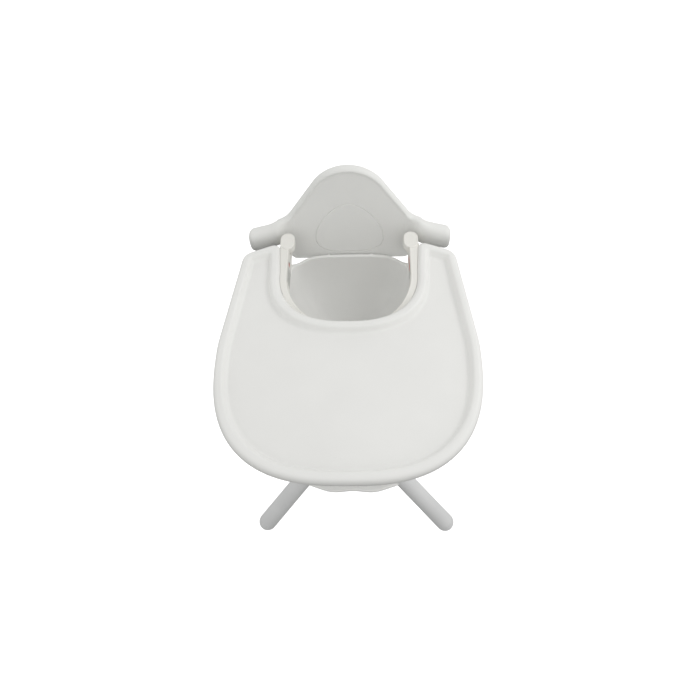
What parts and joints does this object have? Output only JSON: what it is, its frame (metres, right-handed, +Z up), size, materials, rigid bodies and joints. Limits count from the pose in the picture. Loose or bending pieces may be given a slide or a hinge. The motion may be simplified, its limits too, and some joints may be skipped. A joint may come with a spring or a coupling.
{
  "type": "baby high chair",
  "caption": "White moulded baby high chair: bucket seat, bell-shaped back with side wings, horseshoe arm rail, sliding cut-out tray with rolled rim, splayed grey legs and footrest.",
  "frame": {"origin": "on the floor under the middle of the chair's box", "axes": "+Z up, -Y the way the seated child faces, +X to the right of someone facing the tray"},
  "size_m": [0.5776, 0.617, 0.8808],
  "materials": {
    "white_plastic": "fine satin moulded",
    "warm_white_plastic": "fine satin moulded",
    "grey_plastic": "satin moulded",
    "foot_plastic": "satin moulded",
    "zinc_steel": "zinc plated",
    "label_film": "printed film"
  },
  "bodies": {
    "chair": {"arm_rail": "warm_white_plastic", "arm_screw_left_front": "zinc_steel", "arm_screw_left_rear": "zinc_steel", "arm_screw_right_front": "zinc_steel", "arm_screw_right_rear": "zinc_steel", "back_front_shell": "white_plastic", "back_oval_plate": "white_plastic", "back_rear_cover": "white_plastic", "back_screw_left": "zinc_steel", "back_screw_right": "zinc_steel", "chassis": "white_plastic", "crotch_post": "white_plastic", "foot_cap_front_left": "foot_plastic", "foot_cap_front_right": "foot_plastic", "foot_cap_rear_left": "foot_plastic", "foot_cap_rear_right": "foot_plastic", "footrest": "white_plastic", "footrest_screw_left": "zinc_steel", "footrest_screw_right": "zinc_steel", "leg_front_left": "grey_plastic", "leg_front_right": "grey_plastic", "leg_rear_left": "grey_plastic", "leg_rear_right": "grey_plastic", "leg_spring_front_left": "zinc_steel", "leg_spring_front_right": "zinc_steel", "leg_spring_rear_left": "zinc_steel", "leg_spring_rear_right": "zinc_steel", "post_screw": "zinc_steel", "seat_bolt_1": "zinc_steel", "seat_bolt_2": "zinc_steel", "seat_bolt_3": "zinc_steel", "seat_bolt_4": "zinc_steel", "seat_shell": "white_plastic", "tab_screw_left": "zinc_steel", "tab_screw_right": "zinc_steel"},
    "tray": {"tray_top": "white_plastic", "tray_rail_left": "white_plastic", "tray_rail_right": "white_plastic", "latch_pin_left": "zinc_steel", "latch_pin_right": "zinc_steel", "latch_spring_left": "zinc_steel", "latch_spring_right": "zinc_steel", "rail_screw_left_front": "zinc_steel", "rail_screw_left_rear": "zinc_steel", "rail_screw_right_front": "zinc_steel", "rail_screw_right_rear": "zinc_steel"},
    "lever_left": {"latch_lever_left": "grey_plastic"},
    "lever_right": {"latch_lever_right": "grey_plastic"},
    "button_front_right": {"leg_button_front_right": "grey_plastic"},
    "button_front_left": {"leg_button_front_left": "grey_plastic"},
    "button_rear_right": {"leg_button_rear_right": "grey_plastic"},
    "button_rear_left": {"leg_button_rear_left": "grey_plastic"}
  },
  "joints": [
    {"name": "tray_slide", "type": "slide", "parent": "chair", "child": "tray", "axis": [0, -1, 0], "range_m": [0, 0.1]},
    {"name": "latch_left", "type": "hinge", "parent": "tray", "child": "lever_left", "pos_m": [-0.188, 0.128, 0.7165], "axis": [0, 0, -1], "range_deg": [0, 9], "stiffness_Nm_per_rad": 0.6, "springref_deg": -8.59},
    {"name": "latch_right", "type": "hinge", "parent": "tray", "child": "lever_right", "pos_m": [0.188, 0.128, 0.7165], "axis": [0, 0, 1], "range_deg": [0, 9], "stiffness_Nm_per_rad": 0.6, "springref_deg": -8.59},
    {"name": "button_press_front_right", "type": "slide", "parent": "chair", "child": "button_front_right", "axis": [0.0784, 0.9839, -0.1607], "range_m": [0, 0.0094], "stiffness_N_per_m": 500, "springref_m": -0.004, "deforming": ["leg_spring_front_right"]},
    {"name": "button_press_front_left", "type": "slide", "parent": "chair", "child": "button_front_left", "axis": [-0.0784, 0.9839, -0.1607], "range_m": [0, 0.0094], "stiffness_N_per_m": 500, "springref_m": -0.004, "deforming": ["leg_spring_front_left"]},
    {"name": "button_press_rear_right", "type": "slide", "parent": "chair", "child": "button_rear_right", "axis": [0.0784, -0.9839, -0.1607], "range_m": [0, 0.0094], "stiffness_N_per_m": 500, "springref_m": -0.004, "deforming": ["leg_spring_rear_right"]},
    {"name": "button_press_rear_left", "type": "slide", "parent": "chair", "child": "button_rear_left", "axis": [-0.0784, -0.9839, -0.1607], "range_m": [0, 0.0094], "stiffness_N_per_m": 500, "springref_m": -0.004, "deforming": ["leg_spring_rear_left"]}
  ]
}
